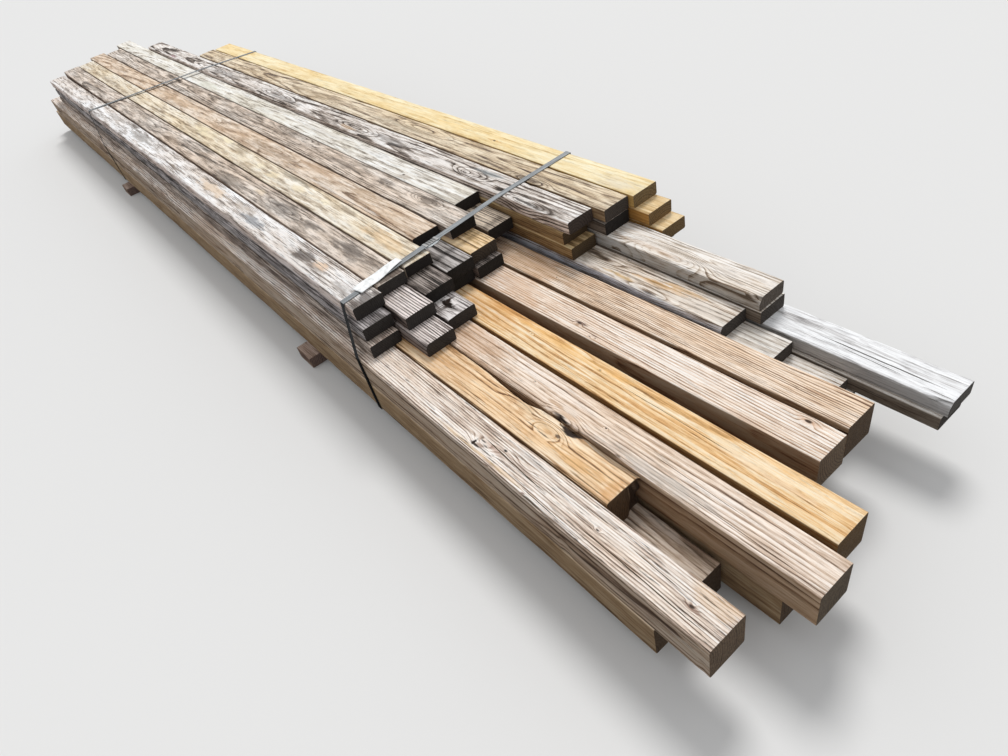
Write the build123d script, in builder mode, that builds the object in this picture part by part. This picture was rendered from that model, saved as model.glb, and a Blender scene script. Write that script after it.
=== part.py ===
"""Strapped stack of weathered construction lumber.

A block of boards laid flat on two layers of square posts stands beside a taller block of
boards alone. Two steel straps hold both blocks together over two cross bearers.

Frame: +X runs along the lumber towards the end where the posts stick out, +Y runs across
the stack from the post side to the board side, and the bearers stand on Z = 0. The origin
is under the middle of the whole.
"""
import os

from build123d import *

os.makedirs("parts", exist_ok=True)

# Sawn sizes of the stock, dressed on four sides
board_width = 89.0
board_thickness = 38.0
post_size = 89.0
edge_radius = 3.0
bow_spans = 8

# Lengths that the stock is sold in
length_10_foot = 3048.0
length_12_foot = 3658.0
length_14_foot = 4267.0
length_16_foot = 4877.0

# How the stack is laid. X is counted here from the near end of the first board.
side_gap = 2.5
bearer_length = 914.0
bearer_overhang = 36.0
near_bearer_x = -380.0
far_bearer_x = -2380.0

# Steel straps with their crimped seals, and the paper tag on the near strap
strap_width = 19.0
strap_thickness = 0.8
strap_clearance = 0.3
seal_length = 45.0
seal_wall = 1.0
seal_clearance = 0.3
near_seal_y = 293.0
far_seal_y = 325.0
tag_length = 145.0
tag_width = 36.0
tag_thickness = 0.6
tag_clearance = 0.3
tag_turn = 8.0
tag_y = 123.0

# Columns of the left block, A to F. For each board, top row first: where its near end
# lies along X, and how far its near and far ends are shifted sideways from its column.
left_boards = {
    "a": [(0, 0, -2), (41, -11, -4), (64, -18, -9)],
    "b": [(-31, 0, 4), (96, -8.5, -2), (178, -17.5, -7)],
    "c": [(-43, 1, 5), (55, -10, -3), (144, -16, -6)],
    "d": [(-137, 0, 6), (22, -8.5, -1), (14, -14, -7)],
    "e": [(-87, 1, 7), (9, -10, 0), (28, -12, -5)],
    "f": [(-183, -1, 7), (-39, -2.5, 3), (-120, -10, -4)],
}

# Columns of the right block, G to I, in the same way, with each board's length.
right_boards = {
    "g": [
        (193, 0, 8, length_12_foot),
        (168, -3, 5, length_12_foot),
        (195, -3, 3, length_12_foot),
        (663, 2.5, -1, length_12_foot),
        (783, 5.5, 1, length_12_foot),
        (913, 9, 3, length_12_foot),
        (926, 24, 7, length_12_foot),
        (640, 12, 5, length_12_foot),
    ],
    "h": [
        (232, 1, 8, length_10_foot),
        (232, -2, 5, length_10_foot),
        (696, 0.5, 5, length_12_foot),
        (699, 3, 4, length_12_foot),
        (1108, 14.5, 5, length_14_foot),
        (1100, 9, 5, length_14_foot),
        (560, 21.5, 8, length_12_foot),
        (600, 13, 6, length_12_foot),
    ],
    "i": [
        (247, 1, 7, length_10_foot),
        (297, 0, 5, length_10_foot),
        (337, 4, 4, length_10_foot),
        (300, 4, 4, length_10_foot),
        (280, 13.5, 5, length_10_foot),
        (310, 9, 5, length_10_foot),
        (270, 20, 9, length_10_foot),
        (300, 13, 6, length_10_foot),
    ],
}

# Posts, from the outer left one inwards. For each: where its near end lies along X, the
# left side's Y at the near end and at the far end, its sideways bow and its length.
upper_posts = {
    "a": (1104, -43, -46, 0, length_16_foot),
    "b": (799, 50, 46, 0, length_14_foot),
    "c": (1168, 142, 138, 0, length_16_foot),
    "d": (1134, 242, 231, -5, length_16_foot),
    "e": (1018, 371, 324, -20, length_16_foot),
    "f": (1013, 470, 416, -22, length_16_foot),
}
lower_posts = {
    "a": (988, -44, -46, 0, length_16_foot),
    "b": (987, 48, 46, 0, length_16_foot),
    "c": (1104, 146, 139, 0, length_16_foot),
    "d": (1060, 248, 232, 0, length_16_foot),
    "e": (960, 352, 325, 0, length_16_foot),
    "f": (940, 456, 418, 0, length_16_foot),
}

# Where each strap lies along X: at the left block's top edge, at the step between the
# blocks, at the right block's side, and at the side of the posts.
near_strap_x = {"left": -50.0, "step": -84.0, "right": -92.0, "foot": 25.0}
far_strap_x = {"left": -2695.0, "step": -2535.0, "right": -2445.0, "foot": -2475.0}

# Levels and columns that follow from the sizes above
pitch = board_width + side_gap
right_start = len(left_boards) * pitch
bearer_top = board_thickness
lower_post_top = bearer_top + post_size
upper_post_top = lower_post_top + post_size
left_top = upper_post_top + len(left_boards["a"]) * board_thickness
right_top = bearer_top + len(right_boards["g"]) * board_thickness
bearer_y = lower_posts["a"][1] - bearer_overhang

pieces = {}


def side_at(x, near_x, near_y, far_y, length):
    """Y of a straight piece's left side where it passes X."""
    return near_y + (far_y - near_y) * (near_x - x) / length


def straight_piece(near_x, near_y, far_y, length, width, thickness, top):
    """One dressed piece, turned a little about Z, with its long edges eased."""
    along = Vector(length, near_y - far_y, 0)
    deck = Plane(origin=(near_x, near_y, top), x_dir=along, z_dir=(0, 0, 1))
    with BuildPart() as piece:
        with BuildSketch(deck):
            Rectangle(length, width, align=(Align.MAX, Align.MIN))
        extrude(amount=-thickness)
        fillet(piece.edges().sort_by(SortBy.LENGTH)[-4:], radius=edge_radius)
    return piece.part


def bowed_post(near_x, near_y, far_y, bow, length, top):
    """A post that has warped sideways, in straight spans along its curve."""
    with BuildPart() as post:
        for station in range(bow_spans + 1):
            share = station / bow_spans
            y = near_y + (far_y - near_y) * share + 4 * bow * share * (1 - share)
            corner = (near_x - length * share, y, top)
            with BuildSketch(Plane(origin=corner, x_dir=(0, 1, 0), z_dir=(1, 0, 0))):
                RectangleRounded(
                    post_size, post_size, radius=edge_radius, align=(Align.MIN, Align.MAX)
                )
        loft(ruled=True)
    return post.part


# Left block: three rows of boards in six columns
for column, (letter, rows) in enumerate(left_boards.items()):
    line = column * pitch
    for row, (near_x, near_shift, far_shift) in enumerate(rows):
        pieces[f"left_board_{letter}{row + 1}"] = straight_piece(
            near_x, line + near_shift, line + far_shift, length_12_foot,
            board_width, board_thickness, left_top - row * board_thickness,
        )

# Two layers of posts under the left block
for letter, (near_x, near_y, far_y, bow, length) in upper_posts.items():
    if bow:
        post = bowed_post(near_x, near_y, far_y, bow, length, upper_post_top)
    else:
        post = straight_piece(
            near_x, near_y, far_y, length, post_size, post_size, upper_post_top
        )
    pieces[f"upper_post_{letter}"] = post
for letter, (near_x, near_y, far_y, bow, length) in lower_posts.items():
    pieces[f"lower_post_{letter}"] = straight_piece(
        near_x, near_y, far_y, length, post_size, post_size, lower_post_top
    )

# Right block: eight rows of boards in three columns. The three boards of its lowest row
# are out of sight and share one node.
lowest_row = len(right_boards["g"]) - 1
bottom_boards = []
for column, (letter, rows) in enumerate(right_boards.items()):
    line = right_start + column * pitch
    for row, (near_x, near_shift, far_shift, length) in enumerate(rows):
        board = straight_piece(
            near_x, line + near_shift, line + far_shift, length,
            board_width, board_thickness, right_top - row * board_thickness,
        )
        if row == lowest_row:
            bottom_boards.append(board)
        else:
            pieces[f"right_board_{letter}{row + 1}"] = board
with BuildPart() as bottom_row:
    for board in bottom_boards:
        add(board)
pieces["right_bottom_boards"] = bottom_row.part

# Bearers: boards laid flat across the foot of the stack
for name, bearer_x in (("near_bearer", near_bearer_x), ("far_bearer", far_bearer_x)):
    with BuildPart() as bearer:
        with BuildSketch(Plane.XY):
            with Locations((bearer_x, bearer_y)):
                Rectangle(board_width, bearer_length, align=(Align.CENTER, Align.MIN))
        extrude(amount=bearer_top)
        fillet(bearer.edges().sort_by(SortBy.LENGTH)[-4:], radius=edge_radius)
    pieces[name] = bearer.part


def strap_route(strap_x):
    """Corners of a taut strap's inner face, clockwise seen from the near end."""
    left_x, step_x = strap_x["left"], strap_x["step"]
    right_x, foot_x = strap_x["right"], strap_x["foot"]
    left_y = side_at(left_x, *left_boards["a"][0], length_12_foot) - strap_clearance
    step_y = right_start + side_at(step_x, *right_boards["g"][0])
    right_edge = right_start + 2 * pitch + board_width + strap_clearance
    right_sides = [right_edge + side_at(right_x, *board) for board in right_boards["i"]]
    proud_row = right_sides.index(max(right_sides))
    proud_top = right_top - proud_row * board_thickness
    foot_sides = [
        side_at(foot_x, near_x, near_y, far_y, length) - strap_clearance
        for near_x, near_y, far_y, bow, length in (upper_posts["a"], lower_posts["a"])
    ]
    over_left = left_top + strap_clearance
    over_right = right_top + strap_clearance
    under = bearer_top - strap_clearance
    return [
        Vector(left_x, left_y, over_left),
        Vector(step_x, step_y, over_right),
        Vector(right_x, right_sides[0], over_right),
        Vector(right_x, right_sides[proud_row], proud_top),
        Vector(right_x, right_sides[proud_row], proud_top - board_thickness),
        Vector(right_x, right_sides[-1], under),
        Vector(foot_x, min(foot_sides), under),
        Vector(foot_x, min(foot_sides), upper_post_top + strap_clearance),
    ]


def across_x(start, end):
    """Direction from one corner of a strap to the next, seen along X."""
    return Vector(0, end.Y - start.Y, end.Z - start.Z).normalized()


def strap(route):
    """A closed band of flat steel, folded at each corner of its route."""
    folds = []
    for index, corner in enumerate(route):
        arriving = across_x(route[index - 1], corner)
        along = (arriving + across_x(corner, route[(index + 1) % len(route)])).normalized()
        mitre = Plane(origin=corner, x_dir=(-1, 0, 0), z_dir=along)
        folds.append((mitre, strap_thickness / arriving.dot(along)))
    with BuildPart() as band:
        for index in range(len(folds)):
            for mitre, thickness in (folds[index - 1], folds[index]):
                with BuildSketch(mitre):
                    Rectangle(strap_width, thickness, align=(Align.CENTER, Align.MIN))
            loft(ruled=True)
    return band.part


def on_strap(route, y):
    """Plane on the inner face of a strap's first span, with its x along the strap."""
    start, end = route[0], route[1]
    along = end - start
    origin = start + along * ((y - start.Y) / along.Y)
    return Plane(origin=origin, x_dir=along, z_dir=Vector(1, 0, 0).cross(across_x(start, end)))


def seal(route, y):
    """Steel sleeve crimped round the strap's overlapping ends."""
    bore_width = strap_width + 2 * seal_clearance
    bore_height = strap_thickness + 2 * seal_clearance
    across = Plane(
        origin=on_strap(route, y).origin + on_strap(route, y).z_dir * (strap_thickness / 2),
        x_dir=on_strap(route, y).y_dir,
        z_dir=on_strap(route, y).x_dir,
    )
    with BuildPart() as sleeve:
        with BuildSketch(across):
            Rectangle(bore_width + 2 * seal_wall, bore_height + 2 * seal_wall)
            Rectangle(bore_width, bore_height, mode=Mode.SUBTRACT)
        extrude(amount=seal_length / 2, both=True)
    return sleeve.part


near_route = strap_route(near_strap_x)
far_route = strap_route(far_strap_x)
pieces["near_strap"] = strap(near_route)
pieces["far_strap"] = strap(far_route)
pieces["near_seal"] = seal(near_route, near_seal_y)
pieces["far_seal"] = seal(far_route, far_seal_y)

# Tag: a strip of stiff paper that lies on the near strap, a little askew
with BuildPart() as tag:
    with BuildSketch(on_strap(near_route, tag_y).offset(strap_thickness + tag_clearance)):
        Rectangle(tag_length, tag_width, rotation=tag_turn)
    extrude(amount=tag_thickness)
pieces["tag"] = tag.part

# Every piece moves to the frame, whose origin is under the middle of the whole
whole = Compound(children=[piece.moved(Location()) for piece in pieces.values()])
box = whole.bounding_box()
to_frame = Location((-box.center().X, -box.center().Y, -box.min.Z))
for label, piece in pieces.items():
    placed = piece.moved(to_frame)
    placed.label = label
    export_step(placed, f"parts/{label}.step")
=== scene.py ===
"""Looks of a strapped stack of weathered lumber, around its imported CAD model."""
import math

import bmesh
import bpy
from mathutils import Matrix, Vector, noise


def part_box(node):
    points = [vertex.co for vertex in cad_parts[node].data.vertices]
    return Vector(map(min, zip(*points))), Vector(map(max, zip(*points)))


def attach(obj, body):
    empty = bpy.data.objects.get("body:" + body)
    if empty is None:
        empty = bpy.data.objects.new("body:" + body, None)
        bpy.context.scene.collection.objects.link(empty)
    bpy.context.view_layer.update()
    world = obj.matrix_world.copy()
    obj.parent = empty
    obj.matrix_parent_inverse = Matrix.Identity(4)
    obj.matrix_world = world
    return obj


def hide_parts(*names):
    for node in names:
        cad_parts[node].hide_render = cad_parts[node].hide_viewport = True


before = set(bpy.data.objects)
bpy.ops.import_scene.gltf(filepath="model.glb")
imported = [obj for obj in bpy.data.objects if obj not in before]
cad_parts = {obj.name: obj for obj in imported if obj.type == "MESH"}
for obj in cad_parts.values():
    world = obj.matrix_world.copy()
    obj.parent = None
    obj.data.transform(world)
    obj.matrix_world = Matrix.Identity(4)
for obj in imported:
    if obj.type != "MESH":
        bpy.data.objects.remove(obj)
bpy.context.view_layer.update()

# View
# An eye-level view from 1.3 m above the floor, beside the near end and back along the stack,
# through a 25 mm lens. Its three directions were solved from the boards' corners.
camera = bpy.data.objects.new("camera", bpy.data.cameras.new("camera"))
camera.data.sensor_width = 36.0
camera.data.lens = 25.0
camera_right = Vector((0.62464, 0.75428, -0.20219))
camera_up = Vector((-0.42963, 0.54815, 0.71761))
camera_back = Vector((0.65211, -0.36138, 0.66645))
camera_place = Matrix((camera_right, camera_up, camera_back)).transposed().to_4x4()
camera_place.translation = (2.80407, -0.8090, 1.2762)
camera.matrix_world = camera_place
bpy.context.scene.collection.objects.link(camera)
bpy.context.scene.camera = camera
bpy.context.scene.view_settings.view_transform = "Standard"

# Posts
# Two layers of 4 by 4 softwood posts, sawn and planed, weathered for a season or two. The
# tops have gone pinkish tan and the ends brown; planing left the arrises a little round,
# and sun and rain have opened checks along the faces.


def paint(colour):
    """sRGB hex to the linear colour that a shader takes."""
    channels = [int(colour[start:start + 2], 16) / 255 for start in (1, 3, 5)]
    return [c / 12.92 if c <= 0.04045 else ((c + 0.055) / 1.055) ** 2.4 for c in channels] + [1]


def put(tree, kind, inputs=(), out=0, **settings):
    """Adds one shader node with its settings and its inputs, and gives one of its outputs."""
    node = tree.nodes.new("ShaderNode" + kind)
    for name, value in settings.items():
        setattr(node, name, value)
    for socket, value in dict(inputs).items():
        if isinstance(value, bpy.types.NodeSocket):
            tree.links.new(value, node.inputs[socket])
        else:
            node.inputs[socket].default_value = value
    return node.outputs[out]


# Noise along the fibres: waves per mm along them and across, detail, and the band in use
wood_layers = {
    "fibre": (0.013, 0.30, 5.0, 0.40, 0.60),
    "streak": (0.004, 0.10, 6.0, 0.39, 0.61),
    "mottle": (0.0075, 0.055, 8.0, 0.40, 0.60),
    "patch": (0.0020, 0.011, 6.0, 0.40, 0.60),
    "speck": (0.03, 0.15, 5.0, 0.55, 0.65),
    "mould": (0.0035, 0.028, 7.0, 0.45, 0.62),
    "hair": (0.012, 0.30, 3.0, 0.60, 0.65),
    "ragged": (0.016, 0.06, 5.0, 0.30, 0.70),
    "saw": (0.05, 0.35, 2.0, 0.30, 0.70),
}


def softwood(name, tones, ring, heart, tilt=(0.0, 0.0), lines=0.5, mottle=0.3, specks=0.2, hairs=0.4,
             tint=("#ffffff", 0.0), side="#d0cac4", end="#5f5143", knots=(), swirls=(), marks=(), seed=0.0):
    """Planed pine or spruce with a weathered surface: rings, fibres, mottling, mildew, checks.

    tones go from the deepest streak to the most bleached. ring is the ring's width and heart
    a point of the pith, both in mm, and tilt turns the pith. Knots are (x, y, radius), swirls
    (x, y, half length, half width, shift of the rings) and marks (x, y, half length, half
    width, colour, share), in mm on the top face.
    """
    wood = bpy.data.materials.new(name)
    wood.use_nodes = True
    tree = wood.node_tree
    place = put(tree, "TexCoord", out="Object")
    mm = put(tree, "VectorMath", {0: place, 1: (1000, 1000, 1000)}, operation="MULTIPLY")
    centred = put(tree, "VectorMath", {0: mm, 1: heart}, operation="SUBTRACT")
    trunk = put(tree, "Mapping", {"Vector": centred, "Rotation": (0, tilt[1], tilt[0])})
    layer = {}
    for number, (key, (along, across, detail, low, high)) in enumerate(wood_layers.items()):
        drawn_out = put(tree, "Mapping", {"Vector": trunk, "Scale": (along, across, across),
                                          "Location": (seed + 7 * number, seed, 3 * number)})
        grain = put(tree, "TexNoise", {"Vector": drawn_out, "Scale": 1.0, "Detail": detail,
                                       "Roughness": 0.68})
        layer[key] = put(tree, "MapRange", {"Value": grain, "From Min": low, "From Max": high})

    # The pith wanders along the trunk by up to a centimetre, and each ring wavers a little
    bent = trunk
    for along, across, reach in ((0.0011, 0.006, 26), (0.009, 0.05, 3.2)):
        drawn_out = put(tree, "Mapping", {"Vector": trunk, "Scale": (along, across, across),
                                          "Location": (seed + reach, seed, reach)})
        sway = put(tree, "TexNoise", {"Vector": drawn_out, "Scale": 1.0, "Detail": 2.0}, out="Color")
        bent = put(tree, "VectorMath", {0: sway, 1: (0, reach, reach), 2: bent}, operation="MULTIPLY_ADD")
    flat = put(tree, "VectorMath", {0: bent, 1: (0, 1, 1)}, operation="MULTIPLY")
    radius = put(tree, "VectorMath", {0: flat}, out="Value", operation="LENGTH")

    # Rings part round knots and swirls, and a knot's core is dark and ragged
    spots = [(*swirl, 0.0) for swirl in swirls]
    spots += [(x, y, 5.7 * size, 3.4 * size, 1.3 * ring, 0.9) for x, y, size in knots]
    cores = []
    for spot_x, spot_y, half_length, half_width, rise, dark in spots:
        offset = put(tree, "VectorMath", {0: mm, 1: (spot_x, spot_y, 0)}, operation="SUBTRACT")
        drawn_in = put(tree, "VectorMath", {0: offset, 1: (1 / half_length, 1 / half_width, 0)},
                       operation="MULTIPLY")
        reach = put(tree, "VectorMath", {0: drawn_in}, out="Value", operation="LENGTH")
        bulge = put(tree, "MapRange", {"Value": reach, "From Min": 0.05, "To Min": rise, "To Max": 0},
                    interpolation_type="SMOOTHSTEP")
        radius = put(tree, "Math", {0: radius, 1: bulge}, operation="ADD")
        if dark:
            rough = put(tree, "Math", {0: layer["ragged"], 1: 0.27, 2: reach}, operation="MULTIPLY_ADD")
            cores.append(put(tree, "MapRange", {"Value": rough, "From Min": 0.30, "From Max": 0.44,
                                                "To Min": dark, "To Max": 0}))
    turns = put(tree, "Math", {0: radius, 1: ring}, operation="DIVIDE")
    cycle = put(tree, "Math", {0: turns}, operation="FRACT")
    year = put(tree, "Math", {0: turns}, operation="FLOOR")
    own_year = put(tree, "Math", {0: year, 1: seed})
    growth = put(tree, "TexWhiteNoise", {"W": own_year}, noise_dimensions="1D")
    late = put(tree, "ValToRGB", {"Fac": cycle})
    stops = late.node.color_ramp.elements
    stops[0].position, stops[0].color = 0.45, (0, 0, 0, 1)
    stops[1].position, stops[1].color = 0.80, (0.75, 0.75, 0.75, 1)
    stops.new(0.91).color = (1, 1, 1, 1)
    stops.new(1.0).color = (0, 0, 0, 1)
    strength = put(tree, "MapRange", {"Value": growth, "To Min": 0.4, "To Max": 1.15})
    latewood = put(tree, "Math", {0: late, 1: strength}, operation="MULTIPLY")

    # One value from deep streak to bleached face picks the tone
    weights = {"fibre": 0.34, "streak": 0.40, "mottle": mottle}
    base = 0.70 + 0.1 * lines - sum(weights.values()) / 2
    value = put(tree, "Math", {0: latewood, 1: -1.1 * lines, 2: base}, operation="MULTIPLY_ADD")
    for key, weight in weights.items():
        value = put(tree, "Math", {0: layer[key], 1: weight, 2: value}, operation="MULTIPLY_ADD")
    colour = put(tree, "ValToRGB", {"Fac": value})
    stops = colour.node.color_ramp.elements
    stops[0].position, stops[0].color = 0.08, paint(tones[0])
    stops[1].position, stops[1].color = 0.92, paint(tones[3])
    stops.new(0.38).color = paint(tones[1])
    stops.new(0.66).color = paint(tones[2])

    # Coats over it, each a share of a colour: tint in patches, mildew, marks (stains, and a few painted
    # shadows), checks, knots
    tinted = put(tree, "Math", {0: layer["patch"], 1: tint[1]}, operation="MULTIPLY")
    spotted = put(tree, "Math", {0: layer["speck"], 1: layer["mould"]}, operation="MULTIPLY")
    spotted = put(tree, "Math", {0: spotted, 1: specks}, operation="MULTIPLY")
    clouded = put(tree, "Math", {0: layer["mould"], 1: 0.5 * specks}, operation="MULTIPLY")
    coats = [(tinted, tint[0], "MULTIPLY"), (clouded, "#8f8780", "MULTIPLY"), (spotted, "#4a423c", "MIX")]
    normal = put(tree, "SeparateXYZ", {0: put(tree, "NewGeometry", out="Normal")}).node.outputs
    # A height that is 0 on the top face and far off on the others keeps the marks on top
    lean = put(tree, "Math", {0: normal[2], 1: -6.0, 2: 6.0}, operation="MULTIPLY_ADD")
    lifted = put(tree, "CombineXYZ", {"Z": lean})
    on_top = put(tree, "VectorMath", {0: mm, 1: (1, 1, 0), 2: lifted}, operation="MULTIPLY_ADD")
    for mark_x, mark_y, half_length, half_width, shade, share in marks:
        offset = put(tree, "VectorMath", {0: on_top, 1: (mark_x, mark_y, 0)}, operation="SUBTRACT")
        drawn_in = put(tree, "VectorMath", {0: offset, 1: (1 / half_length, 1 / half_width, 1)},
                       operation="MULTIPLY")
        reach = put(tree, "VectorMath", {0: drawn_in}, out="Value", operation="LENGTH")
        reach = put(tree, "Math", {0: layer["ragged"], 1: 1.1, 2: reach}, operation="MULTIPLY_ADD")
        stain_and_shadow_share = put(tree, "MapRange", {"Value": reach, "From Min": 0.95, "From Max": 1.65,
                                         "To Min": share, "To Max": 0}, interpolation_type="SMOOTHSTEP")
        coats.append((stain_and_shadow_share, shade, "MIX"))
    checked = put(tree, "Math", {0: layer["hair"], 1: hairs}, operation="MULTIPLY")
    coats.append((checked, "#3f3129", "MIX"))
    coats += [(core, "#33241b", "MIX") for core in cores]
    for share, shade, kind in coats:
        colour = put(tree, "Mix", {0: share, 6: colour, 7: paint(shade)}, 2,
                     data_type="RGBA", blend_type=kind)

    # Sides saw less sun, and the cross-cut ends have drunk dirt and rain
    facing = {"From Min": 0.6, "From Max": 0.9}
    sideways = put(tree, "Math", {0: normal[1]}, operation="ABSOLUTE")
    beside = put(tree, "MapRange", {"Value": sideways, **facing})
    colour = put(tree, "Mix", {0: beside, 6: colour, 7: paint(side)}, 2,
                 data_type="RGBA", blend_type="MULTIPLY")
    endways = put(tree, "Math", {0: normal[0]}, operation="ABSOLUTE")
    across_end = put(tree, "MapRange", {"Value": endways, **facing})
    end_value = put(tree, "Math", {0: latewood, 1: -0.5, 2: 0.5}, operation="MULTIPLY_ADD")
    end_value = put(tree, "Math", {0: layer["saw"], 1: 0.6, 2: end_value}, operation="MULTIPLY_ADD")
    end_colour = put(tree, "Mix", {0: end_value, 6: paint("#15100c"), 7: paint(end)}, 2, data_type="RGBA")
    colour = put(tree, "Mix", {0: across_end, 6: colour, 7: end_colour}, 2, data_type="RGBA")

    # Open checks and holes carry painted shade on the mesh, wanes their dark bark and a rotten near end its
    # rot
    bark_rot_and_painted_shade = put(tree, "Attribute", out="Fac", attribute_name="bark_rot_and_painted_shade")
    bark_rot_and_shade_colour = put(tree, "Mix", {0: layer["ragged"], 6: paint("#120d0a"), 7: paint("#4c3c32")}, 2,
               data_type="RGBA")
    colour = put(tree, "Mix", {0: bark_rot_and_painted_shade, 6: colour, 7: bark_rot_and_shade_colour}, 2, data_type="RGBA")

    relief = put(tree, "Math", {0: latewood, 1: 0.4, 2: layer["fibre"]}, operation="MULTIPLY_ADD")
    relief = put(tree, "Math", {0: layer["hair"], 1: -1.0, 2: relief}, operation="MULTIPLY_ADD")
    bump = put(tree, "Bump", {"Height": relief, "Distance": 0.0009, "Strength": 0.8})
    roughness = put(tree, "MapRange", {"Value": layer["streak"], "To Min": 0.68, "To Max": 0.86})
    shader = tree.nodes["Principled BSDF"]
    tree.links.new(colour, shader.inputs["Base Color"])
    tree.links.new(roughness, shader.inputs["Roughness"])
    tree.links.new(bump, shader.inputs["Normal"])
    shader.inputs["Specular IOR Level"].default_value = 0.3
    return wood


def made(shape, name, material):
    """A finished shape as an object with one material, at the origin and unturned."""
    mesh = bpy.data.meshes.new(name)
    shape.to_mesh(mesh)
    shape.free()
    mesh.materials.append(material)
    piece = bpy.data.objects.new(name, mesh)
    bpy.context.scene.collection.objects.link(piece)
    return piece


def add_edge_line(shape, place, facing):
    """Cuts a line of edges where a plane crosses the whole shape."""
    whole = shape.verts[:] + shape.edges[:] + shape.faces[:]
    bmesh.ops.bisect_plane(shape, geom=whole, plane_co=place, plane_no=facing, dist=1e-6)


def in_metres(sizes):
    """Sizes in mm as a list in metres."""
    return [size / 1000 for size in sizes]


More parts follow.
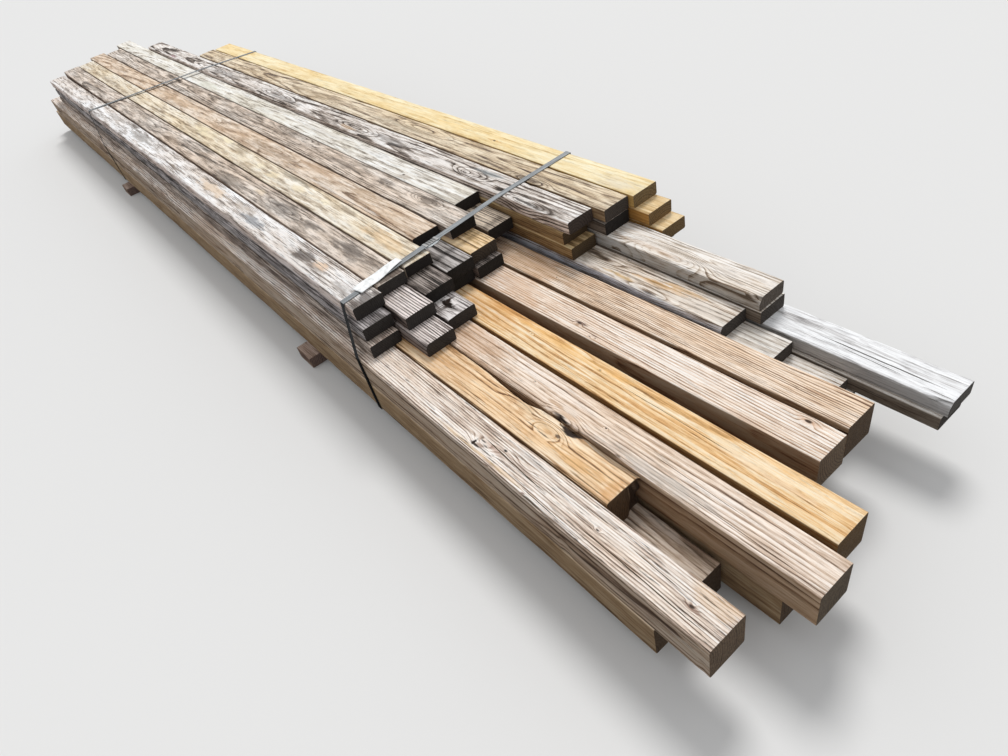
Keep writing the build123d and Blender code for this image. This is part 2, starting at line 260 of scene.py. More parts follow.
def bar(node, wood, slot, checks=(), wanes=(), holes=(), step=0.045, rim=0.0007, rise=0.0, crumble=0.0):
    """A planed bar in place of a CAD node, its arrises worn unevenly.

    checks: (nearest x, farthest x, y, drift in y, gap, depth); wanes: (nearest x, farthest x,
    widest x, side, width on top, depth down the side, darkness); holes: (x, y, half length,
    half width, depth); rise: how far the far end curls up; crumble: how deep the +y half of
    the near end is rotten. All of these are in mm, apart from side (-1 or 1) and darkness (0
    to 1). step, between the edge lines across the bar, and rim, the wear round its two ends,
    are in metres.
    """
    # How round an arris is, how near to the top face still counts as on it, how far below it
    # the rot begins, and from which share of the length on the far end curls
    arris, flush, rot_top, curl_start = 0.004, 0.0002, 0.006, 0.72
    low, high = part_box(node)
    points = [corner.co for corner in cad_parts[node].data.vertices]
    seed = sum(ord(letter) for letter in node) * 0.37
    length, height, middle = high.x - low.x, high.z - low.z, (high.x + low.x) / 2
    stations = []
    for x, reach in ((low.x, 0.005), (middle, 0.05), (high.x, 0.005)):
        across = [point.y for point in points if abs(point.x - x) < reach]
        stations.append((min(across), max(across)) if across else None)
    far_y, near_y = sum(stations[0]) / 2, sum(stations[2]) / 2
    width = stations[2][1] - stations[2][0]
    bow = sum(stations[1]) / 2 - (near_y + far_y) / 2 if stations[1] else 0.0

    def centre(x):
        share = (x - low.x) / length
        return far_y + (near_y - far_y) * share + 4 * bow * share * (1 - share)

    shape = bmesh.new()
    bmesh.ops.create_cube(shape, size=1.0)
    bmesh.ops.scale(shape, vec=(length, width, height), verts=shape.verts)
    round_off = {"affect": "EDGES", "profile": 0.5, "material": -1}
    arrises = [e for e in shape.edges if abs(e.verts[0].co.x - e.verts[1].co.x) > length / 2]
    bmesh.ops.bevel(shape, geom=arrises, offset=arris, segments=3, **round_off)
    rims = [e for e in shape.edges if abs(e.verts[0].co.x - e.verts[1].co.x) < 1e-5]
    bmesh.ops.bevel(shape, geom=rims, offset=rim, segments=2, **round_off)

    # Edge lines along the bar where checks, wanes and holes need them
    checks = [in_metres(check) for check in checks]
    wanes = [(*in_metres(wane[:3]), wane[3], *in_metres(wane[4:6]), wane[6]) for wane in wanes]
    holes = [in_metres(hole) for hole in holes]
    cuts = []
    for near_x, far_x, y, drift, gap, depth in checks:
        cuts += [((0, y - centre(near_x) + part * gap, 0), (0, 1, 0)) for part in (-0.5, 0, 0.5)]
    for near_x, far_x, widest_x, side, top, down, dark in wanes:
        cuts += [((0, side * (width / 2 - top * part), 0), (0, 1, 0)) for part in (0.3, 0.55, 0.8, 1.05)]
        cuts += [((0, 0, height / 2 - down * part), (0, 0, 1)) for part in (0.3, 0.6, 1.0)]
    for x, y, half_length, half_width, depth in holes:
        for part in (-1.1, -0.6, -0.2, 0.2, 0.6, 1.1):
            cuts.append(((0, y - centre(x) + part * half_width, 0), (0, 1, 0)))
    if crumble:
        cuts += [((0, width * part, 0), (0, 1, 0)) for part in (0, 0.07, 0.14, 0.21, 0.3, 0.38)]
        cuts += [((0, 0, height * part), (0, 0, 1)) for part in (-0.4, -0.3, -0.2, -0.1, 0, 0.1)]
    for place, facing in cuts:
        add_edge_line(shape, place, facing)
    runs = [e for e in shape.edges if abs(e.verts[0].co.x - e.verts[1].co.x) > length / 2]
    bmesh.ops.subdivide_edges(shape, edges=runs, cuts=int(length / step), use_grid_fill=True)
    for x, y, half_length, half_width, depth in holes:
        for part in (-1.1, -0.7, -0.35, 0.0, 0.35, 0.7, 1.1):
            add_edge_line(shape, (x - middle + part * half_length, 0, 0), (1, 0, 0))

    bark_rot_and_painted_shade = shape.verts.layers.float.new("bark_rot_and_painted_shade")
    for corner in shape.verts:
        x, y, z = corner.co.x + middle, corner.co.y, corner.co.z
        across, up = math.copysign(1, y), math.copysign(1, z)
        on_top = z > height / 2 - flush
        # Worn arrises with a few nicks, and faces that are only nearly flat
        if abs(y) > width / 2 - arris - flush and abs(z) > height / 2 - arris - flush:
            rub = 0.0005 + 0.0012 * max(0.0, noise.noise((x * 5, seed + 3 * across, up)) + 0.2)
            rub += 0.005 * max(0.0, noise.noise((x * 22, seed + 9 * across, 4 * up)) - 0.40)
            corner.co.y -= across * rub
            corner.co.z -= up * rub
        else:
            shrink = 0.0004 + 0.0004 * noise.noise((x * 1.3, seed, across))
            corner.co.y -= across * shrink
            corner.co.z -= up * shrink * 0.6
        for near_x, far_x, widest_x, side, top, down, dark in wanes:
            if far_x < x < near_x:
                tip = near_x if x > widest_x else far_x
                share = (tip - x) / (tip - widest_x)
                swell = share * share * (3 - 2 * share) * (1 + 0.15 * noise.noise((x * 30, seed, side)))
                top_now, down_now = max(top * swell, 0.001), max(down * swell, 0.001)
                inward = (side * y - (width / 2 - top_now)) / top_now
                upward = (z - (height / 2 - down_now)) / down_now
                if inward > -0.2 and upward > -0.2 and inward + upward > 1:
                    pull = (inward + upward - 1) / (1 / top_now ** 2 + 1 / down_now ** 2)
                    pull *= 1 + 0.25 * noise.noise((x * 60, y * 60, z * 60))
                    corner.co.y -= side * pull / top_now
                    corner.co.z -= pull / down_now
                    corner[bark_rot_and_painted_shade] = max(corner[bark_rot_and_painted_shade], dark * min(1.0, (inward + upward - 1) * 6))
        for line_near, line_far, line_y, drift, gap, depth in checks:
            line = line_y - centre(line_near)
            if on_top and abs(y - line) < gap * 0.6:
                share = (line_near - x) / (line_near - line_far)
                taper = max(0.0, min(1.0, 5 * share, 5 * (1 - share)))
                waver = 0.0020 * noise.noise((x * 6, seed, line * 40))
                waver += 0.0006 * noise.noise((x * 45, seed, 8))
                corner.co.y = line + (y - line) * max(0.2, taper) + drift * max(0.0, min(1.0, share))
                corner.co.y += waver
                if abs(y - line) < gap * 0.1:
                    opened = taper * max(0.0, 0.75 + 0.7 * noise.noise((x * 14, seed, 5)))
                    corner.co.z -= depth * opened
                    # The open middle of a check is painted dark: painted shade in the crack
                    corner[bark_rot_and_painted_shade] = min(1.0, opened)
        for hole_x, hole_y, half_length, half_width, depth in holes:
            reach = math.hypot((x - hole_x) / half_length, (y + centre(x) - hole_y) / half_width)
            reach += 0.25 * noise.noise((x * 90, y * 90, seed))
            if on_top and reach < 1.2:
                corner.co.z -= depth * math.sqrt(max(0.0, 1 - reach * reach))
                # A hole is painted dark all through: painted shade in the hole
                corner[bark_rot_and_painted_shade] = 1.0
        if crumble and corner.co.x > length / 2 - 0.001:
            rotten = max(0.0, min(1.0, 4 * y / width)) if z < height / 2 - rot_top else 0.0
            x -= 0.001 * crumble * rotten * max(0.0, 0.5 + 1.3 * noise.noise((y * 70, z * 25, seed)))
            corner[bark_rot_and_painted_shade] = max(corner[bark_rot_and_painted_shade], 0.7 * rotten)
        curl = max(0.0, (high.x - x) / length - curl_start) / (1 - curl_start)
        corner.co.x = x
        corner.co.y += centre(x)
        corner.co.z += (low.z + high.z) / 2 + 0.001 * rise * curl ** 2
    piece = made(shape, node + "_wood", wood)
    piece.data.shade_smooth()
    piece.data.set_sharp_from_angle(angle=math.radians(35))
    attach(piece, "root")
    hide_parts(node)


post_woods = {
    "a": softwood(
        "pine post, bleached pink", ("#6a5446", "#c3afa0", "#f0e3d7", "#fffaf5"), 5.6, (1900, -470, 190),
        (0.004, 0.003), lines=0.7, mottle=0.3, specks=0.15, hairs=0.8, tint=("#fdeddb", 0.5),
        side="#c9beb0", end="#85705b", knots=[(2422, -382, 3.5), (2211, -381, 2.5)],
        swirls=[(1888, -394, 62, 22, 17), (2000, -375, 60, 18, 8)],
        marks=[(1850, -412, 110, 5, "#f3d3a4", 0.45), (1990, -412, 90, 5, "#f0cfa4", 0.4),
               (1885, -396, 18, 8, "#b79a86", 0.8), (1866, -397, 5, 12, "#21150f", 1.0),
               (1877, -403, 17, 3.6, "#2b1c14", 0.95), (1896, -391, 17, 3.4, "#21150f", 0.95),
               (1881, -385, 12, 3.0, "#3d2a20", 0.9), (1912, -384, 30, 9, "#c8a898", 0.5),
               (1938, -371, 7, 4.4, "#0f0a07", 1.0), (2047, -419, 9, 5, "#7a4530", 0.8),
               (2020, -352, 70, 8, "#a59a92", 0.5), (2200, -352, 60, 7, "#a89d95", 0.45),
               (2440, -350, 60, 22, "#e2bd93", 0.4), (2425, -384, 20, 5, "#8f6a58", 0.6)],
        seed=2.0,
    ),
    "b": softwood(
        "pine post, orange", ("#74553a", "#d5b088", "#f4d9b6", "#ffeed6"), 6.4, (1900, -220, 160),
        (-0.004, 0.010), lines=0.65, mottle=0.3, specks=0.05, hairs=0.25, tint=("#fde3bb", 0.6),
        side="#9f8f7e", end="#6a5138", swirls=[(1966, -276, 70, 26, 26), (1860, -268, 90, 20, 10)],
        marks=[(1952, -276, 34, 15, "#e0bb8c", 0.5), (1926, -288, 26, 1.8, "#5b4028", 0.85),
               (1962, -291, 28, 1.8, "#4b3421", 0.85), (1992, -276, 9, 4, "#3c291c", 0.8),
               (1880, -262, 40, 10, "#f7dfba", 0.5), (2080, -300, 90, 12, "#eebb7c", 0.55),
               (2170, -305, 20, 34, "#e2a96c", 0.55), (1610, -290, 110, 60, "#d09a5e", 0.35)],
        seed=5.0,
    ),
    "c": softwood(
        "pine post, pink tan", ("#785f4e", "#c8af99", "#efdccb", "#fff3e8"), 7.2, (1900, -110, 170),
        (0.003, -0.004), lines=0.68, mottle=0.18, specks=0.05, hairs=0.25, tint=("#f8e8d2", 0.5),
        side="#cabaa6", end="#7a6a57", knots=[(1832, -196, 1.6), (2052, -196, 1.6)],
        swirls=[(1962, -226, 75, 28, 18)],
        marks=[(1600, -195, 150, 60, "#c99a6e", 0.4),
               (1960, -214, 34, 13, "#f4e3d3", 0.7), (1972, -222, 60, 9, "#d6b08a", 0.6),
               (1918, -214, 26, 5, "#cda781", 0.6), (2190, -222, 150, 15, "#cfc5ba", 0.55),
               (1948, -234, 24, 6, "#3a2a24", 0.9), (2120, -233, 9, 3, "#4b382c", 0.8),
               (2290, -215, 90, 10, "#d8cdc2", 0.5)],
        seed=9.0,
    ),
    "d": softwood(
        "pine post, golden", ("#8a6134", "#dfb27c", "#f9dbad", "#fff0d6"), 7.6, (1900, -40, 140),
        (0.006, 0.006), lines=0.55, mottle=0.2, specks=0.02, hairs=0.08, tint=("#fde4bb", 0.5),
        side="#9c8668", end="#7a6040", knots=[(1921, -81, 1.6), (1700, -90, 1.5)],
        swirls=[(1760, -66, 150, 16, 9)],
        marks=[(1540, -75, 150, 60, "#d9994f", 0.4), (1800, -75, 260, 12, "#f8c47a", 0.5),
               (2120, -66, 300, 12, "#f5c07a", 0.35), (2350, -92, 120, 8, "#fbe3c2", 0.5)],
        seed=13.0,
    ),
    "e": softwood(
        "pine post, pale", ("#876851", "#d5b9a1", "#f9e9da", "#fffaf4"), 6.6, (1900, 110, 205),
        (-0.004, 0.002), lines=0.72, mottle=0.12, specks=0.02, hairs=0.08, tint=("#fbeddc", 0.5),
        side="#a3927f", end="#8a755f",
        knots=[(1765, 7, 4), (2334, 62, 5.5), (1820, -14, 1.4), (1836, -11, 1.4)],
        marks=[(1500, 15, 170, 60, "#d3a070", 0.4), (1769, 8, 20, 6, "#5f3a27", 0.8),
               (2334, 62, 8, 5, "#472c1e", 0.95), (2334, 60, 26, 10, "#d9ab86", 0.5),
               (1830, -6, 10, 2, "#6b4a38", 0.7)],
        seed=17.0,
    ),
    "f": softwood(
        "pine post, fine grain", ("#6e5340", "#bfa288", "#f2dcc4", "#fff2e4"), 4.8, (1900, 210, 190),
        (-0.004, 0.002), lines=0.75, mottle=0.15, specks=0.04, hairs=0.15, tint=("#fbe8d2", 0.5),
        side="#a3927f", end="#705c48", knots=[(1581, 103, 1.8)],
        marks=[(1480, 110, 170, 60, "#c99763", 0.45)],
        seed=21.0,
    ),
}
post_details = {
    "a": {
        "checks": [
            (2141, 2030, -413, 2, 2.0, 6), (2470, 2150, -402, 4, 2.0, 8), (2077, 1870, -388, 12, 2.2, 8),
            (2395, 2280, -371, 3, 2.0, 6), (1800, 1500, -362, 5, 1.4, 5),
        ],
        "wanes": [(2140, 2042, 2056, -1, 6, 8, 0.3), (1990, 1870, 1930, 1, 3, 5, 0.0)],
        "step": 0.012,
    },
    "b": {
        "wanes": [
            (1945, 1640, 1860, 1, 13, 70, 0.0), (2056, 1958, 2000, 1, 20, 13, 1.0),
            (2290, 1985, 2110, 1, 14, 9, 0.6),
        ],
        "step": 0.012, "crumble": 12.0,
    },
    "c": {
        "checks": [(2530, 2240, -222, 4, 1.4, 4), (2400, 2150, -190, 3, 1.2, 3)],
        "wanes": [(1984, 1930, 1956, -1, 10, 14, 1.0), (2150, 1985, 2100, -1, 4, 12, 0.25)],
        "step": 0.02,
    },
    "d": {"checks": [(2280, 1980, -90, 3, 1.2, 3)], "step": 0.03},
}
for letter, wood in post_woods.items():
    bar(f"upper_post_{letter}", wood, "weathered_posts", **post_details.get(letter, {"step": 0.03}))
lower_woods = [
    softwood(
        "pine post, brown side", ("#7d6549", "#b59a78", "#d2b997", "#e6d3b6"), 6.0, (1900, -440, 60),
        (0.002, 0.003), lines=0.45, mottle=0.4, specks=0.25, hairs=0.35,
        side="#c4b8aa", end="#6a5642", seed=31.0,
    ),
    softwood(
        "pine post, dull top", ("#645348", "#9b8470", "#c6af99", "#e6d6c6"), 6.0, (1900, -230, 60),
        (-0.002, 0.003), lines=0.6, mottle=0.4, specks=0.4, hairs=0.5,
        side="#a59686", end="#5b4a3a", seed=35.0,
    ),
]
for letter in "abcdef":
    bar(f"lower_post_{letter}", lower_woods[0 if letter in "ac" else 1], "weathered_posts")

# Boards of the left block
# Eighteen 2 by 4 studs laid flat in three rows. Their tops lay open to the weather, so each
# has gone its own shade of silver, straw or brown, and their near ends are nearly black.
sooty = "#3a3633"
left_woods = {
    "a1": softwood(
        "spruce board, bleached white", ("#6f655e", "#cec7c1", "#f8f5f3", "#ffffff"), 5.0, (900, -470, 300),
        (0.004, 0.006), lines=0.4, mottle=0.75, specks=0.35, hairs=0.8, tint=("#efdfcf", 0.6),
        side="#fcf1ec", end=sooty, seed=41.0, swirls=[(1041, -338, 130, 24, 16)],
        marks=[(1035, -338, 62, 24, "#544942", 0.8), (1110, -345, 60, 12, "#8b7a6c", 0.6),
               (1125, -330, 40, 14, "#f0cfae", 0.7), (676, -344, 100, 20, "#767b82", 0.7),
               (560, -322, 90, 18, "#b8a692", 0.5), (300, -332, 140, 24, "#e5c9a8", 0.6),
               (-30, -352, 180, 6, "#7c6957", 0.7), (-560, -330, 160, 26, "#8e857d", 0.6),
               (-1000, -322, 150, 20, "#a39b94", 0.5), (1290, -352, 60, 22, "#8d837b", 0.6),
               # The last mark, a dark band across the whole near end under the strap, is a painted shadow
               (1376, -335, 34, 60, "#5d534d", 0.8)],
    ),
    "b1": softwood(
        "spruce board, grey brown", ("#5f564e", "#aea297", "#d8ccc0", "#f8eee4"), 5.5, (900, -240, 280),
        (-0.004, 0.012), lines=0.5, mottle=0.6, specks=0.6, hairs=0.6, tint=("#ecdac6", 0.6),
        side="#b5aca6", end=sooty, seed=45.0,
        swirls=[(717, -245, 220, 26, 14), (-700, -250, 300, 24, 12)],
        marks=[(298, -264, 140, 26, "#857c73", 0.6), (700, -245, 130, 30, "#79716a", 0.6),
               (887, -241, 60, 18, "#6c645d", 0.6), (1150, -240, 120, 28, "#5f5751", 0.65),
               (-400, -250, 160, 30, "#b49a80", 0.3), (500, -238, 50, 12, "#e8d2b4", 0.6),
               (-1700, -255, 300, 14, "#6a625b", 0.55),
               # The last mark, a dark band across the whole near end under the strap, is a painted shadow
               (1345, -246, 42, 60, "#54463c", 0.85)],
    ),
    "c1": softwood(
        "spruce board, straw", ("#8f7f6b", "#cfbea7", "#eee1cb", "#fff8ea"), 6.0, (900, -150, 300),
        (0.005, -0.008), lines=0.4, mottle=0.6, specks=0.4, hairs=0.4, tint=("#f5e7cb", 0.6),
        side="#b5aca6", end="#27221f", seed=49.0,
        marks=[(-83, -120, 60, 18, "#f9ebc9", 0.8), (298, -144, 45, 16, "#fbeed0", 0.85),
               (430, -152, 60, 20, "#f8e7c4", 0.7), (620, -147, 50, 16, "#f8e9c8", 0.7),
               (800, -142, 28, 15, "#fdf0d2", 0.8), (540, -120, 120, 12, "#8d8577", 0.6),
               (930, -128, 90, 12, "#94836f", 0.6), (1180, -150, 120, 30, "#edc795", 0.4),
               (80, -130, 60, 20, "#a8977e", 0.5), (-300, -140, 110, 26, "#f3e3bd", 0.6),
               (-1750, -165, 300, 14, "#a08f7a", 0.55)],
    ),
    "d1": softwood(
        "spruce board, golden brown", ("#806a57", "#c3ac95", "#dfccb7", "#f6e9da"), 7.5, (600, -60, 262),
        (-0.006, 0.022), lines=0.5, mottle=0.5, specks=0.4, hairs=0.5, tint=("#f3dcbf", 0.5),
        side="#b5aca6", end="#1f1b18", seed=53.0,
        swirls=[(900, -12, 170, 22, 26), (250, -52, 240, 26, 24), (-500, -60, 260, 24, 24)],
        marks=[(-900, -60, 420, 26, "#dbbb98", 0.4), (150, -55, 160, 20, "#a78d72", 0.5),
               (560, -40, 170, 22, "#c2a283", 0.5), (880, -42, 90, 26, "#b3936f", 0.5),
               (760, -90, 300, 7, "#efe4d8", 0.6), (350, -60, 120, 20, "#978574", 0.5)],
    ),
    "e1": softwood(
        "spruce board, speckled", ("#5e544b", "#b8ac9f", "#dcd0c4", "#fbf2e8"), 4.5, (900, 60, 280),
        (0.005, 0.008), lines=0.5, mottle=0.6, specks=0.85, hairs=0.6, tint=("#eddccb", 0.6),
        side="#b5aca6", end="#1f1b18", seed=57.0, knots=[(890, 38, 3.5)],
        swirls=[(1108, 44, 120, 26, 22), (200, 60, 260, 24, 16)],
        marks=[(1108, 44, 58, 24, "#655a50", 0.7), (880, 40, 60, 18, "#5c524a", 0.6),
               (600, 30, 120, 20, "#7c7168", 0.5), (100, 60, 200, 14, "#7e746b", 0.5)],
    ),
    "f1": softwood(
        "spruce board, silver", ("#8d8377", "#d9d1c5", "#faf5ec", "#fffefa"), 5.5, (900, 120, 290),
        (-0.004, 0.006), lines=0.4, mottle=0.55, specks=0.35, hairs=0.4, tint=("#ebe6d8", 0.6),
        side="#b5aca6", end="#27221f", seed=61.0, knots=[(890, 102, 3.5)],
        marks=[(1250, 100, 120, 30, "#b9ad9c", 0.5), (905, 96, 40, 12, "#a58f79", 0.5),
               (-900, 110, 180, 26, "#dbdccb", 0.5), (300, 130, 200, 16, "#c6bcae", 0.4)],
    ),
    "ridged": softwood(
        "spruce board, ridged plum grey", ("#3b312d", "#9b8d86", "#ddd1ca", "#f8ede8"), 6.2,
        (1400, -190, 280), (-0.004, 0.004), lines=0.9, mottle=0.3, specks=0.3, hairs=0.5,
        side="#8f8783", end=sooty, seed=69.0,
    ),
    "a3": softwood(
        "spruce board, ridged brown", ("#2c221d", "#65554a", "#a08f83", "#cdbfb2"), 5.6,
        (1400, -440, 205), (0.004, 0.004), lines=0.7, mottle=0.4, specks=0.3, hairs=0.6,
        side="#ffffff", end=sooty, seed=68.0,
    ),
    "dim": softwood(
        "spruce board, ridged grey", ("#231e1b", "#6b625d", "#a29b96", "#cdc6c2"), 5.8,
        (1400, -60, 260), (0.003, 0.004), lines=0.8, mottle=0.4, specks=0.4, hairs=0.5,
        side="#8f8783", end="#23201d", seed=70.0,
    ),
    "charred": softwood(
        "spruce board, dark grey", ("#0f0c0a", "#3f3731", "#776c65", "#ada29a"), 5.5,
        (1400, -430, 250), (0.004, 0.005), lines=0.6, mottle=0.5, specks=0.4, hairs=0.5,
        side="#c2bab6", end="#23201d", seed=65.0,
    ),
    "brown": softwood(
        "spruce board, dull brown", ("#3d342e", "#998a7a", "#e2d0bb", "#f8e6cf"), 5.5,
        (1400, 90, 250), (0.003, 0.005), lines=0.6, mottle=0.4, specks=0.3, hairs=0.5,
        side="#8f8783", end="#2b2622", seed=71.0,
    ),
    "a2": softwood(
        "spruce board, purple grey side", ("#221d1b", "#59524f", "#918a89", "#cbc4c2"), 5.0,
        (1400, -440, 240), (0.004, 0.004), lines=0.6, mottle=0.5, specks=0.3, hairs=0.6,
        # Its one mark, a dark band across the whole near end, is a painted shadow
        side="#ffffff", end=sooty, seed=67.0, marks=[(1436, -330, 40, 66, "#45403c", 0.6)],
    ),
    "yellow": softwood(
        "pine board, yellow", ("#6b543c", "#b8935f", "#e8c695", "#ffe2b8"), 7.0,
        (1400, 0, 260), (0.004, 0.005), lines=0.6, mottle=0.4, specks=0.2, hairs=0.4,
        side="#a08f6c", end="#4a4036", seed=73.0,
    ),
    "knotted": softwood(
        "spruce board, knot hole", ("#3a302c", "#a39a96", "#e2dbd7", "#fcf6f2"), 5.0, (1400, -180, 200),
        (0.002, 0.008), lines=0.5, mottle=0.5, specks=0.3, hairs=0.5, side="#8f8783", end=sooty, seed=77.0,
        swirls=[(1470, -174, 44, 24, 14)],
        marks=[(1480, -174, 40, 13, "#8c8480", 0.6), (1440, -192, 30, 8, "#6a625e", 0.5),
               # The two near-black marks lie over the knot hole: painted shade in it
               (1474, -172, 24, 6, "#0b0807", 1.0), (1459, -166, 8, 15, "#0b0807", 1.0)],
    ),
}
left_finish = {
    "b2": "ridged", "b3": "ridged", "c2": "charred", "c3": "knotted",
    "d2": "dim", "d3": "charred", "e2": "yellow", "e3": "charred", "f2": "brown", "f3": "charred",
}
left_details = {
    "a1": {"checks": [(1380, 900, -332, 4, 1.8, 4), (60, -260, -365, 20, 2.4, 5)], "step": 0.03,
           "wanes": [(640, 500, 570, -1, 6, 8, 0.3)]},
    "b1": {"rise": 12.0, "rim": 0.003},
    "c1": {"rise": 8.0, "rim": 0.003},
    "d1": {"rise": 8.0, "checks": [(1240, 700, -98, 3, 1.6, 4)], "step": 0.03},
    "e1": {"rise": 6.0, "rim": 0.003},
    "f1": {"rise": 12.0},
    "b2": {"checks": [(1475, 1300, -262, 1, 1.4, 3), (1478, 1380, -226, 0, 1.2, 3)], "step": 0.02},
    "c3": {"holes": [(1474, -172, 21, 7, 8), (1460, -166, 8, 11, 8)], "step": 0.03},
    "b3": {"wanes": [(1640, 1480, 1562, -1, 9, 12, 0.2)], "rim": 0.002},
}
for letter in "abcdef":
    for row in "123":
        key = letter + row
        bar(f"left_board_{key}", left_woods[left_finish.get(key, key)], "weathered_boards",
            **left_details.get(key, {"rim": 0.0015}))

# Boards of the right block
# Twenty-four more studs, eight rows high, from several loads: silver ones that lay outside
# for long, and yellow ones with clean faces that spent most of it inside the stack.
right_woods = {
    "g1": softwood(
        "pine board, white with dark swirls", ("#3c322b", "#968a80", "#e0d7cf", "#fffbf7"), 8.0,
        (600, 214, 300), (0.010, 0.020), lines=0.75, mottle=0.55, specks=0.5, hairs=0.6,
        tint=("#e8ded4", 0.5), side="#f1e8e3", end="#4b403a", seed=81.0, knots=[(1095, 202, 5)],
        swirls=[(1400, 181, 130, 20, 24), (1120, 205, 130, 30, 26), (420, 205, 200, 28, 26),
                (-300, 210, 240, 26, 26), (-1100, 212, 300, 26, 24)],
        marks=[(1400, 181, 80, 7, "#3f3731", 0.85), (1470, 186, 60, 12, "#6b6058", 0.6),
               (1190, 236, 80, 14, "#8d9496", 0.6), (960, 206, 70, 12, "#f6f1ec", 0.6),
               (640, 210, 120, 18, "#7f7a77", 0.5), (380, 190, 60, 12, "#c39b6c", 0.5),
               (-200, 205, 220, 16, "#8b8581", 0.6), (-900, 215, 200, 22, "#86807c", 0.6),
               (-1640, 165, 110, 30, "#c9a0a6", 0.6)],
    ),
    "g2": softwood(
        "pine board, yellow side", ("#6b5233", "#a88a5f", "#c8aa7c", "#e2c898"), 6.0, (1400, 215, 200),
        (0.004, 0.006), lines=0.6, mottle=0.4, specks=0.3, hairs=0.3,
        side="#b3a698", end="#57462f", seed=85.0,
    ),
    "h1": softwood(
        "pine board, grey tan", ("#54443a", "#a9957d", "#decbb0", "#f9ecd4"), 6.5, (900, 330, 290),
        (-0.004, 0.016), lines=0.65, mottle=0.45, specks=0.3, hairs=0.4, tint=("#f2e3ca", 0.5),
        side="#a39584", end="#4b443e", seed=89.0,
        swirls=[(1316, 274, 120, 26, 22), (700, 320, 260, 30, 22)],
        marks=[(1316, 272, 52, 15, "#5d4d40", 0.75), (1304, 268, 12, 7, "#241a14", 0.9),
               (1100, 276, 140, 8, "#7b6a58", 0.6), (600, 300, 200, 16, "#9b8a72", 0.5),
               (-100, 300, 260, 22, "#b8a283", 0.5)],
    ),
    "i1": softwood(
        "pine board, bright yellow", ("#c7a36a", "#eed7a4", "#fbe8bb", "#fff4d2"), 8.0, (900, 400, 285),
        (0.003, 0.010), lines=0.28, mottle=0.35, specks=0.05, hairs=0.12, tint=("#fbe3ae", 0.5),
        side="#c2ad84", end="#8a7450", seed=93.0, knots=[(1010, 385, 4)],
        marks=[(1010, 386, 46, 6, "#d2a25c", 0.6), (1550, 380, 90, 30, "#e9dfcc", 0.5),
               (1130, 350, 120, 9, "#e3bf84", 0.5), (-560, 380, 60, 8, "#d0a56a", 0.5)],
    ),
    "i2": softwood(
        "pine board, amber", ("#a57e48", "#dcb983", "#f0d09c", "#fde4b8"), 6.5, (1400, 430, 240),
        (0.003, 0.006), lines=0.4, mottle=0.35, specks=0.1, hairs=0.2,
        side="#b89a6a", end="#8a6f48", seed=97.0,
    ),
    "h3": softwood(
        "pine board, silver tan", ("#7f6d5c", "#cbbeaf", "#f1eae2", "#fffcf8"), 7.0, (1830, 330, 260),
        (0.002, 0.010), lines=0.65, mottle=0.35, specks=0.15, hairs=0.3, tint=("#f6e9d8", 0.5),
        side="#bfc1c3", end="#6b6157", seed=101.0, swirls=[(1800, 288, 190, 44, 52)],
        marks=[(1740, 282, 120, 12, "#c8a788", 0.4), (1950, 300, 80, 20, "#f3ebe2", 0.5)],
    ),
    "g4": softwood(
        "pine board, honey patches", ("#5c4c3f", "#b7a592", "#eee3d8", "#fdf8f1"), 6.5, (1800, 190, 180),
        (0.006, 0.014), lines=0.6, mottle=0.45, specks=0.3, hairs=0.4, tint=("#f5ece0", 0.6),
        side="#d2dcf0", end="#4c4641", seed=105.0, knots=[(1699, 251, 2)],
        swirls=[(1831, 178, 130, 24, 14), (1620, 215, 150, 22, 13)],
        marks=[(1831, 176, 22, 6, "#473a30", 0.85), (1720, 190, 60, 8, "#d8ae68", 0.7),
               (1830, 215, 90, 10, "#dba964", 0.6), (1900, 232, 70, 8, "#d8a862", 0.6),
               (1980, 200, 90, 20, "#e8ded2", 0.5), (1560, 210, 80, 26, "#a3957f", 0.5)],
    ),
    "g5": softwood(
        "pine board, dull silver", ("#6d5f52", "#c2b5a6", "#e8e0d6", "#fbf6ee"), 5.5, (2000, 200, 130),
        (0.004, 0.006), lines=0.5, mottle=0.4, specks=0.25, hairs=0.4,
        side="#8f857b", end="#4a433d", seed=109.0,
    ),
    "h5": softwood(
        "spruce board, silver white", ("#989492", "#dddbda", "#fafafa", "#ffffff"), 4.5, (2100, 340, 130),
        (0.004, 0.004), lines=0.4, mottle=0.12, specks=0.05, hairs=0.3,
        side="#c4c1be", end="#6d6964", seed=113.0,
        marks=[(2462, 335, 30, 2.0, "#a9a5a3", 0.6), (2470, 322, 24, 1.6, "#b0acab", 0.5)],
    ),
    # Darker tones and a near-black end for boards out of the light: painted shade
    "shaded": softwood(
        "spruce board, shaded grey", ("#4b433c", "#7d746b", "#a0968d", "#c3bab1"), 5.5, (1400, 300, 60),
        (0.004, 0.004), lines=0.5, mottle=0.5, specks=0.3, hairs=0.4,
        side="#9c948c", end="#1f1b18", seed=117.0,
    ),
}
